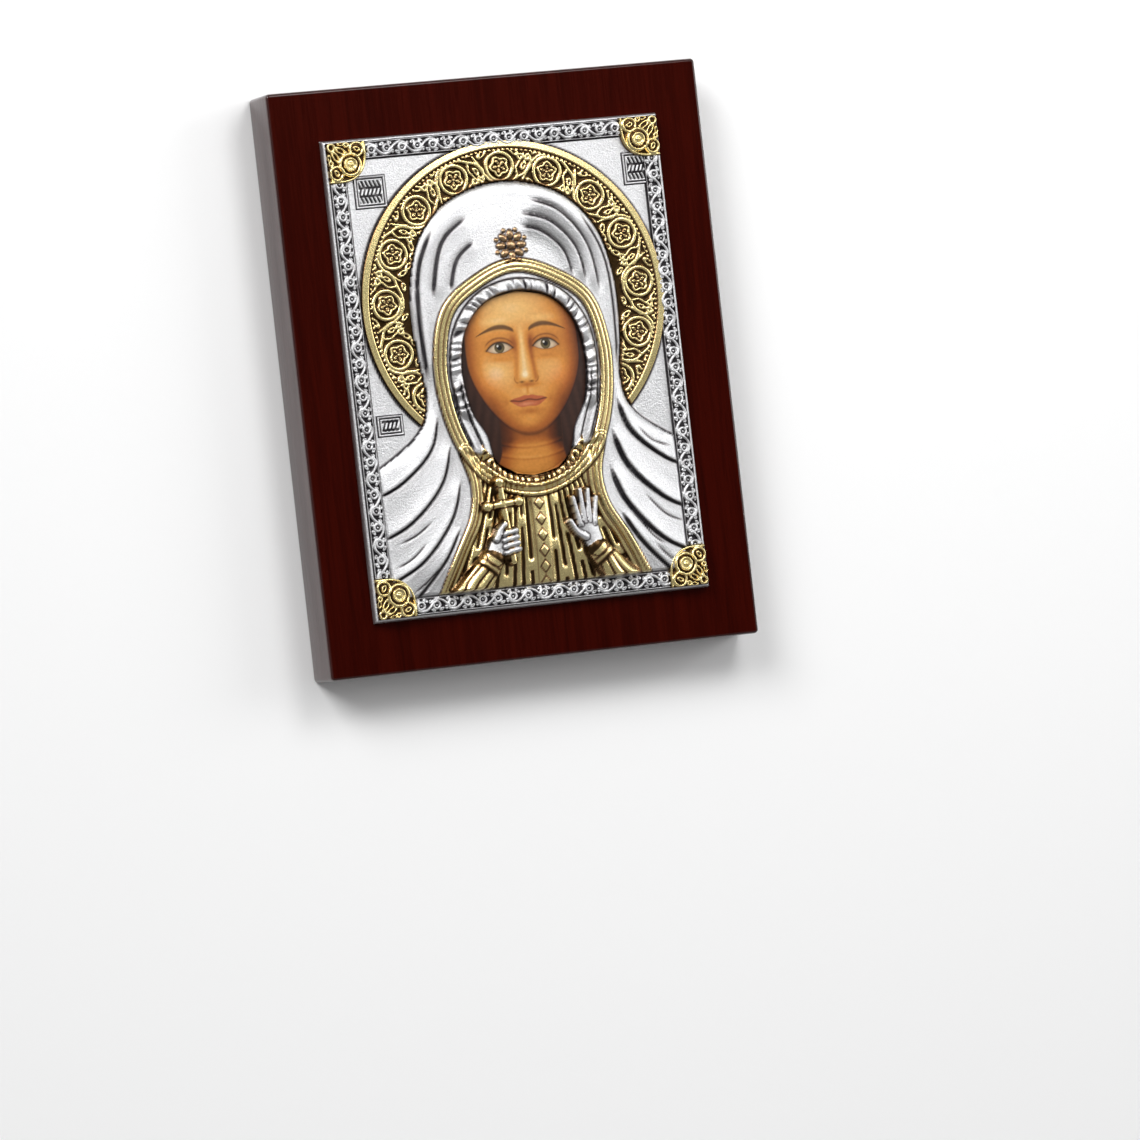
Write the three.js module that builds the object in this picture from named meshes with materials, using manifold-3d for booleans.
// A small icon panel: a lacquered wood block with a pressed, partly gilt silver cover on its face.
// The cover has an opening through which a printed, slightly domed picture of the face shows.
// The panel lies on its back: +X to its right, +Y to its top, +Z out of its face, all in millimetres.

import * as THREE from 'three';
import { mergeVertices } from 'three/addons/utils/BufferGeometryUtils.js';
import Module from 'manifold-3d';

// Driving dimensions. Heights of the cover's relief are measured from the wood's face, and anything
// joined to the cover starts at its root, inside the sheet.
const PANEL = { width: 55, height: 70, thickness: 6.5, bevel: 0.4 };
const COVER = { width: 43, height: 57.6, ground: 0.9, bevel: 0.35, root: 0.3 };
const PICTURE = { gap: 0.3, edge: 1.5, dome: 0.9, halfWidth: 9, halfHeight: 13, rings: 3, middleY: -1 };
const AXIS = 0.4; // the figure stands this far right of the panel's middle
const BURIED = 0.02; // how far a joined piece's skirt lies under what it stands on

// The border: a garland of leaning leaf pods, just inside the cover's edge
const BORDER = { inset: 1.3, half: 1, rise: 0.55, pitch: 1.9, sway: 0.3, dip: 0.2, crest: 0.3 };

// The corner pieces: a lobed quarter plate, its bosses as [in from one edge, in from the other, radius]
const CORNER = { reach: 5.6, lobes: 4, wave: 0.5, rise: 0.55, shoulder: 0.2, steps: 8, bossRise: 0.45 };
const CORNER_BOSSES = [[1.4, 3.4, 0.9], [3.4, 1.4, 0.9], [3.1, 3.1, 1.15]];

// The halo: a broad gilt ring of scroll roundels inside a plain round rim, one roundel at its very top
const HALO = { y: 7.8, inner: 13.5, outer: 19.3, floor: 0.2, rim: 0.55, rimRise: 0.45, segments: 46 };
const ROUNDEL = { at: 16.15, radius: 1.75, half: 0.36, rise: 0.35, heart: 0.9, valley: 0.05, sides: 8 };
const ROUNDELS = { eachSide: 6, turn: 21.7 }; // degrees from one to the next
const LEAF = { at: 17.3, long: 1, wide: 0.5, tall: 0.35 };

// The figure, measured from its own axis: right halves, mirrored to the left where they are symmetric
const VEIL = [
  [0, 22.2], [7, 20.4], [11.4, 15.8], [13.1, 9.5], [13.1, 3],
  [12.5, -2.5], [13.6, -6.4], [17.6, -9.6], [24, -13],
];
const FOOT = { side: 24, low: -32, beyond: 8 }; // the cloth runs on under the border to here
const OPENING = [
  [0, 8.9], [4.2, 7.8], [7, 4.6], [7.9, 0], [7.3, -4.6],
  [5.6, -7.9], [5, -10.4], [3.4, -12.4], [0, -13.2],
];
const BRAID = [
  [0, 12], [4.6, 10.6], [8.9, 7.3], [10.5, 1.6], [10.2, -4.2],
  [8.7, -9.2], [6.4, -12.3], [3.4, -14.2], [0, -14.9],
];
const MANTLE_EDGE = [[8.6, -9.6], [7.6, -13.6], [8.2, -17.6], [10.6, -22], [14.4, -29.6]];
const TUNIC_TOP = [0, -11];
const STAR = { y: 14.4, leaves: 8, out: 1.4, long: 0.72, wide: 0.34, tall: 0.4, boss: 0.62 };

// Folds as [line, how far the cloth swells on the line's left, rise]
const CROWN_FOLDS = [
  [[[10.8, 8.6], [9.4, 14.4], [5.6, 18.8], [-0.6, 20.6]], 3, 0.42],
  [[[8.8, 9.4], [7.6, 13.8], [4, 17.1], [-1.4, 18.2]], 2.6, 0.4],
  [[[6.6, 10.6], [5.4, 13.2], [2.6, 15.2], [-1, 15.6]], 2, 0.36],
  [[[-4.6, 19], [-8.6, 15.6], [-10.6, 9]], 2.8, 0.4],
  [[[-3.6, 16.2], [-6.6, 13.8], [-8, 9.8]], 2.2, 0.36],
];
const SHOULDER_FOLDS = [
  [[[11.4, -4.6], [12.8, -9], [16.8, -12.6], [20.8, -14.4]], 2.4, 0.42],
  [[[10.2, -8.2], [12, -13.2], [16.2, -17.4], [20.8, -19.6]], 2.8, 0.48],
  [[[9.4, -12.4], [11.2, -17.4], [15.4, -22.2], [20.8, -25]], 2.6, 0.46],
];
const FOLD = { steps: 6, across: [0, 0.35, 1], ends: 0.3 };

// Sleeves, hands and the hand cross are round bars: half widths at the start and end, the height their
// sides start from, the rise of their backs, and how many steps they take along and to each side
const SLEEVE = { start: 2.3, end: 1.45, base: 1.9, rise: 1 };
const SLEEVE_LINE = [[12, -29], [9, -25.6], [6.6, -22.6]];
const HAND = { start: 1.15, end: 1.3, base: 2.3, rise: 0.55 };
const PALM = [[6.5, -22.4], [6, -20.9], [5.7, -19.8]];
const FIST = [[-6.5, -22.4], [-5.9, -21.2], [-5.2, -20.4]];
const OPEN_FINGERS = [
  [[4.75, -19.6], [4.15, -16.4]],
  [[5.35, -19.2], [5.1, -15.5]],
  [[5.98, -19.2], [6.1, -15.6]],
  [[6.6, -19.6], [7.05, -16.6]],
];
const THUMBS = [[[5.2, -21.2], [4.2, -20.4], [3.5, -19.1]], [[-6.2, -20.4], [-5.6, -19.3], [-5, -18.7]]];
const FINGER = { start: 0.38, end: 0.3, base: 2.45, rise: 0.42, along: 1, around: 1 };
const THUMB = { start: 0.45, end: 0.32, base: 2.6, rise: 0.45, along: 2, around: 1 };
const CROSS = { foot: [-4.3, -23.2], head: [-5.1, -13.6], armsAt: 0.72, arm: 2, knob: 0.62, knobRise: 0.45 };
const CROSS_BAR = { start: 0.42, end: 0.42, base: 2.75, rise: 0.35, along: 1, around: 1 };
const GRIP = { fingers: 4, from: 0.13, step: 0.077, tilt: 0.01, out: 0.95, in: 0.75 };
const GRIP_FINGER = { start: 0.38, end: 0.32, base: 2.75, rise: 0.42, along: 1, around: 1 };
const BAR_END = 0.55; // a bar's round ends narrow to this share of its half width

// Small plaques as [middle x, middle y, half width, half height], from the panel's middle
const PLAQUES = [[-16.1, 22.3, 2.05, 2], [18.1, 22.3, 1.9, 2], [-16.9, -14.6, 1.9, 1.5]];
const PLAQUE_RISE = 0.12;

// The plain cloth: how far it rises, over what distance, and where its swellings lie
const RISE = { cloth: 0.85, tunic: -0.45 };
const CROWN = { rise: 0.75, y: 6, halfWidth: 10.5, halfHeight: 12.5 };
const CHEST = { rise: 0.55, y: -23, halfWidth: 15, halfHeight: 10.5 };
const EDGE = { round: 1.6, full: 5, tunic: 0.6, sink: 0.12, border: 3, low: 0.4 };
const CAP = { rise: 0.5, end: 0.62, fade: 0.06 }; // shares of the opening's side, from its top
const TRIM = { half: 0.85, flat: 0.7, rise: 0.34 }; // the braid, also down the mantle's edges
const BAND = { half: 1, flat: 0.85, rise: 0.24 };
const COLUMNS = { veil: 15, side: 4, foot: 4 };
const OUTLINE_SHARES = { veil: 0.66, side: 0.8 }; // of the way round the opening, at the ends of each leg

const { clamp, smoothstep, degToRad } = THREE.MathUtils;
const CORNERS = [[-1, -1], [1, -1], [1, 1], [-1, 1]];
const arch = (share) => Math.sqrt(Math.max(0, 1 - share * share));
const steps = (count) => Array.from({ length: count + 1 }, (_, i) => i / count);
const onAxis = (points) => points.map(([x, y]) => [x + AXIS, y]);
const flipped = (points) => points.map(([x, y]) => [-x, y]);
const bothSides = (points) => [...flipped(points.filter(([x]) => x !== 0)).reverse(), ...points];
const flatPoint = ([x, y]) => new THREE.Vector3(x, y, 0);

function smoothLine(points, closed = false) {
  return new THREE.CatmullRomCurve3(points.map(flatPoint), closed, 'catmullrom', 0.5);
}

// The right half of a symmetric line, by its share of the way down, with the direction it runs in.
function rightHalf(points) {
  const whole = smoothLine([...flipped(points).reverse(), ...points.slice(1)]);
  return {
    at: (share) => whole.getPointAt((1 + share) / 2),
    way: (share) => whole.getTangentAt((1 + share) / 2),
  };
}

// A closed outline that tells how deep a point lies inside it, negative outside.
class Outline {
  constructor(points, perSpan) {
    const spans = 2 * points.length - 2;
    this.points = smoothLine(onAxis(bothSides(points)), true).getPoints(perSpan * spans).slice(0, -1);
  }

  depth(x, y) {
    let inside = false;
    let nearest = Infinity;
    this.points.forEach((b, i) => {
      const a = this.points.at(i - 1);
      const [dx, dy] = [b.x - a.x, b.y - a.y];
      const t = clamp(((x - a.x) * dx + (y - a.y) * dy) / (dx * dx + dy * dy), 0, 1);
      nearest = Math.min(nearest, Math.hypot(x - a.x - t * dx, y - a.y - t * dy));
      if (a.y > y !== b.y > y && x < a.x + (dx * (y - a.y)) / dy) inside = !inside;
    });
    return inside ? nearest : -nearest;
  }
}

const veil = new Outline([...VEIL, [FOOT.side + FOOT.beyond, FOOT.low - FOOT.beyond]], 6);
const opening = new Outline(OPENING, 4);
const tunic = new Outline([TUNIC_TOP, ...MANTLE_EDGE], 6);

function swelling(x, y, { rise, y: middleY, halfWidth, halfHeight }) {
  return rise * Math.exp(-(((x - AXIS) / halfWidth) ** 2) - ((y - middleY) / halfHeight) ** 2);
}

// The plain form of the cloth: a rounded edge, a full crown and chest, and the tunic sunk between its edges.
// It flattens towards the border.
function clothHeight(x, y) {
  const depth = veil.depth(x, y);
  const edge = RISE.cloth * arch(1 - clamp(depth / EDGE.round, 0, 1));
  const body = (swelling(x, y, CROWN) + swelling(x, y, CHEST)) * smoothstep(depth, 0, EDGE.full);
  const sunk = RISE.tunic * smoothstep(tunic.depth(x, y), 0, EDGE.tunic);
  const toEdge = Math.min(COVER.width / 2 - Math.abs(x), COVER.height / 2 - Math.abs(y));
  const open = EDGE.low + (1 - EDGE.low) * smoothstep(toEdge - 2 * BORDER.inset, 0, EDGE.border);
  return COVER.ground + (edge + body + sunk) * open;
}

const wasm = await Module();
wasm.setup();

function toSolid(geometry) {
  geometry.deleteAttribute('normal');
  geometry.deleteAttribute('uv');
  const merged = mergeVertices(geometry, 1e-4);
  return new wasm.Manifold(
    new wasm.Mesh({
      numProp: 3,
      vertProperties: new Float32Array(merged.attributes.position.array),
      triVerts: new Uint32Array(merged.index.array),
    }),
  );
}

function toGeometry(solid) {
  const { vertProperties, triVerts } = solid.getMesh();
  const geometry = new THREE.BufferGeometry();
  geometry.setAttribute('position', new THREE.BufferAttribute(vertProperties, 3));
  geometry.setIndex(new THREE.BufferAttribute(triVerts, 1));
  return geometry;
}

const join = (geometries) => geometries.map(toSolid).reduce((whole, part) => whole.add(part));

// The closed body between a sheet of points and its own shadow on a flat foot.
function bodyUnder(top, triangles, foot) {
  const area = triangles.reduce((sum, [a, b, c]) => {
    const [[ax, ay], [bx, by], [cx, cy]] = [top[a], top[b], top[c]];
    return sum + (bx - ax) * (cy - ay) - (cx - ax) * (by - ay);
  }, 0);
  const upward = area > 0 ? triangles : triangles.map(([a, b, c]) => [a, c, b]);
  const under = top.length;
  const faces = [...upward, ...upward.map(([a, b, c]) => [under + c, under + b, under + a])];
  const edges = upward.flatMap(([a, b, c]) => [[a, b], [b, c], [c, a]]);
  const known = new Set(edges.map(([a, b]) => `${a} ${b}`));
  for (const [a, b] of edges) {
    if (!known.has(`${b} ${a}`)) faces.push([b, a, under + a], [b, under + a, under + b]);
  }
  const points = [...top, ...top.map(([x, y]) => [x, y, foot])];
  const geometry = new THREE.BufferGeometry();
  geometry.setAttribute('position', new THREE.Float32BufferAttribute(points.flat(), 3));
  geometry.setIndex(faces.flat());
  return geometry;
}

// The body under rows of [x, y, z] points, all rows equally long. With ring, the last row joins the first.
function sheetBody(rows, ring = false) {
  const width = rows[0].length;
  const triangles = [];
  for (let j = 0; j < rows.length - (ring ? 0 : 1); j++) {
    for (let i = 0; i < width - 1; i++) {
      const [a, b] = [j * width + i, ((j + 1) % rows.length) * width + i];
      triangles.push([a, b, b + 1], [a, b + 1, a + 1]);
    }
  }
  return bodyUnder(rows.flat(), triangles, COVER.root);
}

// A strip along a line: at each share of its length, points at the given offsets to its left, with
// height(x, y, share, offset number) giving how high each stands.
function strip(points, along, offsets, height) {
  const line = smoothLine(onAxis(points));
  const rows = steps(along).map((share) => {
    const { x, y } = line.getPointAt(share);
    const way = line.getTangentAt(share);
    return offsets.map((offset, i) => {
      const [px, py] = [x - way.y * offset, y + way.x * offset];
      return [px, py, height(px, py, share, i)];
    });
  });
  return sheetBody(rows);
}

// A flat-topped trim that follows the cloth.
function trim(points, along, { half, flat, rise }) {
  const offsets = [-half, -flat, flat, half];
  const rises = [-EDGE.sink, rise, rise, -EDGE.sink];
  return strip(points, along, offsets, (x, y, _, i) => clothHeight(x, y) + rises[i]);
}

// A round bar with round ends, narrowing from one half width to the other.
function bar({ line: points, start, end, base, rise, along = 3, around = 2 }) {
  const line = smoothLine(onAxis(points));
  const tip = arch(BAR_END);
  const stations = [
    { share: 0, back: -start * tip, half: start * BAR_END },
    ...steps(along).map((share) => ({ share, back: 0, half: start + (end - start) * share })),
    { share: 1, back: end * tip, half: end * BAR_END },
  ];
  const rows = stations.map(({ share, back, half }) => {
    const way = line.getTangentAt(share);
    const { x, y } = line.getPointAt(share).addScaledVector(way, back);
    const full = start + (end - start) * share;
    return steps(2 * around).map((turn) => {
      const offset = -half * Math.cos(Math.PI * turn);
      return [x - way.y * offset, y + way.x * offset, base + rise * arch(Math.hypot(offset, back) / full)];
    });
  });
  return sheetBody(rows);
}

// A leaf: a four-sided lens lying at an angle, half sunk in what it lies on.
function leaf(x, y, z, { long, wide, tall }, angle) {
  return new THREE.OctahedronGeometry(1, 0).scale(long, wide, tall).rotateZ(angle).translate(x, y, z);
}

function boss(x, y, z, radius, rise) {
  const dome = new THREE.SphereGeometry(1, 6, 4).rotateX(Math.PI / 2);
  return dome.scale(radius, radius, rise).translate(x, y, z);
}

// A flat block from z = 0 with bevelled edges.
function blockGeometry(width, height, thickness, bevel) {
  const [x, y] = [width / 2 - bevel, height / 2 - bevel];
  const face = new THREE.Shape(CORNERS.map(([sx, sy]) => new THREE.Vector2(sx * x, sy * y)));
  const depth = thickness - 2 * bevel;
  const options = { depth, bevelThickness: bevel, bevelSize: bevel, bevelSegments: 2 };
  return new THREE.ExtrudeGeometry(face, options).translate(0, 0, bevel);
}

// The cover's ground: a plate with a rounded upper edge. Its lower bevel lies below the wood's face and is
// cut off.
function groundGeometry() {
  const { width, height, ground, bevel } = COVER;
  return blockGeometry(width, height, ground + bevel, bevel).translate(0, 0, -bevel);
}

// The border's garland, mitred at the corners: a ridge that sways from side to side and dips between pods.
function borderGeometry() {
  const { inset, half, rise, pitch, sway, dip, crest } = BORDER;
  const swings = [0, sway, 0, -sway];
  const rows = CORNERS.flatMap(([sx, sy], side) => {
    const [ex, ey] = CORNERS[(side + 1) % CORNERS.length];
    const length = sx === ex ? COVER.height : COVER.width;
    const shares = steps(2 * Math.round(length / pitch)).slice(0, -1);
    return shares.map((share, step) => {
      const [wx, wy] = [sx + (ex - sx) * share, sy + (ey - sy) * share];
      const swing = swings[step % swings.length];
      const high = rise - (step % 2 ? 0 : dip);
      const top = [[swing - crest, high], [swing + crest, high - dip / 2]];
      return [[-half, -BURIED], ...top, [half, -BURIED]].map(([offset, z]) => {
        const away = inset + offset;
        return [wx * (COVER.width / 2 - away), wy * (COVER.height / 2 - away), COVER.ground + z];
      });
    });
  });
  return sheetBody(rows, true);
}

// Each corner has a lobed quarter plate with two scroll bosses and a larger one between them.
function cornerGeometries([sx, sy]) {
  const top = COVER.ground + CORNER.rise;
  const place = (inX, inY) => [sx * (COVER.width / 2 - inX), sy * (COVER.height / 2 - inY)];
  const { shoulder } = CORNER;
  const profile = [[0.02, top], [0.9, top], [0.98, top - shoulder], [1, COVER.ground - shoulder]];
  const rows = steps(CORNER.steps).map((share) => {
    const angle = (share * Math.PI) / 2;
    const reach = CORNER.reach - CORNER.wave * Math.cos(CORNER.lobes * angle) - 2 * COVER.bevel;
    return profile.map(([t, z]) => {
      const [inX, inY] = [t * reach * Math.cos(angle), t * reach * Math.sin(angle)];
      return [...place(COVER.bevel + inX, COVER.bevel + inY), z];
    });
  });
  const bosses = CORNER_BOSSES.map(([x, y, radius]) => boss(...place(x, y), top, radius, CORNER.bossRise));
  return [sheetBody(rows), ...bosses];
}

// What the cloth leaves clear for a corner piece.
function cornerCutter([sx, sy]) {
  return new THREE.CylinderGeometry(CORNER.reach, CORNER.reach, 20, 20)
    .rotateX(Math.PI / 2)
    .translate((sx * COVER.width) / 2, (sy * COVER.height) / 2, 0);
}

// One roundel: a ring about a boss.
function roundelGeometry() {
  const { radius, half, rise, heart, valley, sides } = ROUNDEL;
  const under = COVER.root - COVER.ground - HALO.floor;
  const profile = [
    [0, under], [radius + half, under], [radius + half, 0], [radius, rise],
    [radius - half, valley], [heart, valley], [0.6 * heart, 0.8 * rise], [0, rise],
  ];
  const points = profile.map(([r, z]) => new THREE.Vector2(r, z));
  return new THREE.LatheGeometry(points, sides).rotateX(Math.PI / 2);
}

// The halo's ring turned about its centre, with the roundels and the leaves that fill in between them.
function haloGeometries() {
  const { y: middleY, inner, outer, rim, segments } = HALO;
  const floor = COVER.ground + HALO.floor;
  const crest = COVER.ground + HALO.rimRise;
  const profile = [
    [inner, COVER.root], [outer, COVER.root], [outer, crest - rim / 3], [outer - rim / 2, crest],
    [outer - 1.5 * rim, crest], [outer - 2 * rim, floor], [inner + rim, floor],
    [inner, COVER.ground - BURIED], [inner, COVER.root],
  ].map(([r, z]) => new THREE.Vector2(r, z));
  const ring = new THREE.LatheGeometry(profile, segments).rotateX(Math.PI / 2).translate(AXIS, middleY, 0);
  const at = (radius, angle) => [AXIS + radius * Math.cos(angle), middleY + radius * Math.sin(angle)];
  const { eachSide, turn } = ROUNDELS;
  const ornaments = steps(2 * eachSide).flatMap((_, i) => {
    const angle = degToRad(90 + (i - eachSide) * turn);
    const between = angle + degToRad(turn / 2);
    return [
      roundelGeometry().translate(...at(ROUNDEL.at, angle), floor),
      leaf(...at(LEAF.at, between), floor, LEAF, between),
    ];
  });
  return [ring, ...ornaments];
}

// Points on the figure's outline, each with its share of the way round the opening: down the veil, down the
// side that runs on under the border, and along the foot.
function outlineStations() {
  const veilSide = rightHalf(VEIL);
  const [corner, low, middle] = [VEIL.at(-1), [FOOT.side, FOOT.low], [0, FOOT.low]].map(flatPoint);
  const { veil: first, side: second } = OUTLINE_SHARES;
  const { lerp } = THREE.MathUtils;
  return [
    ...steps(COLUMNS.veil).slice(0, -1).map((t) => [first * t, veilSide.at(t)]),
    ...steps(COLUMNS.side).slice(0, -1).map((t) => [lerp(first, second, t), corner.clone().lerp(low, t)]),
    ...steps(COLUMNS.foot).map((t) => [lerp(second, 1, t), low.clone().lerp(middle, t)]),
  ];
}

// The cloth: a sheet drawn from the figure's outline in to the picture's opening. On the way it crosses the
// braid, which stands up square, and the roll of the cap.
function clothGeometry() {
  const [braid, hole] = [BRAID, OPENING].map(rightHalf);
  const half = outlineStations().map(([share, outer]) => {
    const way = braid.way(share);
    const across = new THREE.Vector3(-way.y, way.x, 0);
    const beside = (offset) => braid.at(share).addScaledVector(across, offset);
    const inner = hole.at(share).multiplyScalar(0.96); // just inside the opening, which is cut out later
    const round = Math.min(EDGE.round / outer.distanceTo(beside(TRIM.half)), 0.6);
    const shares = [0, 0.07 * round, 0.4 * round, round, (1 + round) / 2, 1];
    const capRise = CAP.rise * smoothstep(CAP.end - share, 0, CAP.fade);
    return [
      ...shares.map((t) => [outer.clone().lerp(beside(TRIM.half), t), 0]),
      [beside(TRIM.flat), TRIM.rise],
      [beside(-TRIM.flat), TRIM.rise],
      [beside(-TRIM.half), 0],
      [beside(-TRIM.half).lerp(inner, 0.5), capRise],
      [inner, capRise / 2],
    ];
  });
  const place = (side) => ([{ x, y }, rise]) => [AXIS + side * x, y, clothHeight(AXIS + side * x, y) + rise];
  const right = half.map((column) => column.map(place(1)));
  const left = half.slice(1, -1).reverse().map((column) => column.map(place(-1)));
  return sheetBody([...right, ...left], true);
}

// A fold: the cloth swells on the line's left and drops at the line.
function foldGeometry([line, soft, rise]) {
  const { across, ends } = FOLD;
  return strip(line, FOLD.steps, across.map((t) => t * soft), (x, y, share, i) => {
    const taper = smoothstep(share, 0, ends) * smoothstep(1 - share, 0, ends);
    return clothHeight(x, y) + (rise + EDGE.sink) * (1 - across[i]) ** 2 * taper - EDGE.sink;
  });
}

// The leaved star on the forehead of the veil.
function starGeometries() {
  const z = clothHeight(AXIS, STAR.y);
  const leaves = steps(STAR.leaves).slice(1).map((share) => {
    const angle = 2 * Math.PI * share;
    return leaf(AXIS + STAR.out * Math.cos(angle), STAR.y + STAR.out * Math.sin(angle), z, STAR, angle);
  });
  return [...leaves, boss(AXIS, STAR.y, z, STAR.boss, STAR.tall)];
}

// The hand cross, with a knob on each free end, and the fingers that close round its shaft.
function crossGeometries() {
  const foot = new THREE.Vector2(...CROSS.foot);
  const head = new THREE.Vector2(...CROSS.head);
  const across = head.clone().sub(foot).normalize().rotateAround(new THREE.Vector2(), -Math.PI / 2);
  const at = (share, side) => foot.clone().lerp(head, share).addScaledVector(across, side).toArray();
  const arms = [at(CROSS.armsAt, -CROSS.arm), at(CROSS.armsAt, CROSS.arm)];
  const { knob, knobRise } = CROSS;
  const knobs = onAxis([CROSS.head, ...arms]).map(([x, y]) => boss(x, y, CROSS_BAR.base, knob, knobRise));
  const fingers = steps(GRIP.fingers - 1).map((_, i) => {
    const share = GRIP.from + i * GRIP.step;
    return bar({ ...GRIP_FINGER, line: [at(share + GRIP.tilt, -GRIP.out), at(share, GRIP.in)] });
  });
  const bars = [[CROSS.foot, CROSS.head], arms].map((line) => bar({ ...CROSS_BAR, line }));
  return [...bars, ...knobs, ...fingers];
}

// The figure, trimmed square inside the border and round inside the corner pieces.
function figureSolid() {
  const leftFolds = SHOULDER_FOLDS.map(([line, ...rest]) => [flipped(line).reverse(), ...rest]);
  const inner = 2 * BORDER.inset + BORDER.half;
  const field = new THREE.BoxGeometry(COVER.width - inner, COVER.height - inner, 20);
  return join([
    clothGeometry(),
    ...[...CROWN_FOLDS, ...SHOULDER_FOLDS, ...leftFolds].map(foldGeometry),
    trim([BRAID.at(-1), [0, -COVER.height / 2]], 5, BAND),
    ...[MANTLE_EDGE, flipped(MANTLE_EDGE)].map((line) => trim(line, 10, TRIM)),
    ...starGeometries(),
    ...[SLEEVE_LINE, flipped(SLEEVE_LINE)].map((line) => bar({ ...SLEEVE, line })),
    ...[PALM, FIST].map((line) => bar({ ...HAND, line })),
    ...OPEN_FINGERS.map((line) => bar({ ...FINGER, line })),
    ...THUMBS.map((line) => bar({ ...THUMB, line })),
    ...crossGeometries(),
  ])
    .intersect(toSolid(field))
    .subtract(join(CORNERS.map(cornerCutter)));
}

// The cover is one pressed sheet: ground, halo, border, corners, plaques and figure, with the picture's
// opening cut through them all.
function coverGeometry() {
  const plaques = PLAQUES.map(([x, y, halfWidth, halfHeight]) => {
    const thick = COVER.ground + PLAQUE_RISE - COVER.root;
    const plate = new THREE.BoxGeometry(2 * halfWidth, 2 * halfHeight, thick);
    return plate.translate(x, y, COVER.root + thick / 2);
  });
  const below = new THREE.BoxGeometry(PANEL.width, PANEL.height, 10).translate(0, 0, -5);
  const hole = new THREE.Shape(opening.points.map(({ x, y }) => new THREE.Vector2(x, y)));
  const cutter = new THREE.ExtrudeGeometry(hole, { depth: 10, bevelEnabled: false }).translate(0, 0, -2);
  const corners = CORNERS.flatMap(cornerGeometries);
  const sheet = join([groundGeometry(), ...haloGeometries(), borderGeometry(), ...corners, ...plaques]);
  return toGeometry(sheet.add(figureSolid()).subtract(toSolid(below)).subtract(toSolid(cutter)));
}

// The printed picture: rings of the opening's outline, a little smaller, drawn in over a shallow dome.
function pictureGeometry() {
  const middle = flatPoint([AXIS, PICTURE.middleY]);
  const outline = opening.points.filter((_, i) => i % 2 === 0);
  const count = outline.length;
  const edge = outline.map((point, i) => {
    const along = outline[(i + 1) % count].clone().sub(outline.at(i - 1)).normalize();
    return point.clone().addScaledVector(new THREE.Vector3(along.y, -along.x, 0), PICTURE.gap);
  });
  const place = (point, share) => {
    const { x, y } = middle.clone().lerp(point, share);
    const hump = 1 - ((x - AXIS) / PICTURE.halfWidth) ** 2 - (y / PICTURE.halfHeight) ** 2;
    return [x, y, PICTURE.edge + PICTURE.dome * Math.max(0, hump) ** 0.6];
  };
  const shares = steps(PICTURE.rings).slice(1);
  const top = [place(middle, 0), ...shares.flatMap((share) => edge.map((point) => place(point, share)))];
  const triangles = edge.map((_, i) => [0, 1 + i, 1 + ((i + 1) % count)]);
  for (let ring = 1; ring < PICTURE.rings; ring++) {
    for (let i = 0; i < count; i++) {
      const [inner, next] = [1 + (ring - 1) * count, (i + 1) % count];
      const outer = inner + count;
      triangles.push([inner + i, outer + i, outer + next], [inner + i, outer + next, inner + next]);
    }
  }
  return bodyUnder(top, triangles, 0);
}

function makePiece(name, geometry, finish) {
  geometry.computeVertexNormals();
  const mesh = new THREE.Mesh(geometry, new THREE.MeshStandardMaterial(finish));
  mesh.name = name;
  return mesh;
}

const { width, height, thickness, bevel } = PANEL;
const lacquer = { color: 0x3a0d09, roughness: 0.35, metalness: 0 };
const silver = { color: 0xd9d9d6, roughness: 0.35, metalness: 0.9 };
const print = { color: 0xd08a45, roughness: 0.3, metalness: 0 };
const wood = makePiece('wood_panel', blockGeometry(width, height, thickness, bevel), lacquer);
const cover = makePiece('silver_cover', coverGeometry(), silver);
const picture = makePiece('face_picture', pictureGeometry(), print);
cover.position.z = thickness;
picture.position.z = thickness;

const iconPanel = new THREE.Group();
iconPanel.add(wood, cover, picture);

export default iconPanel;
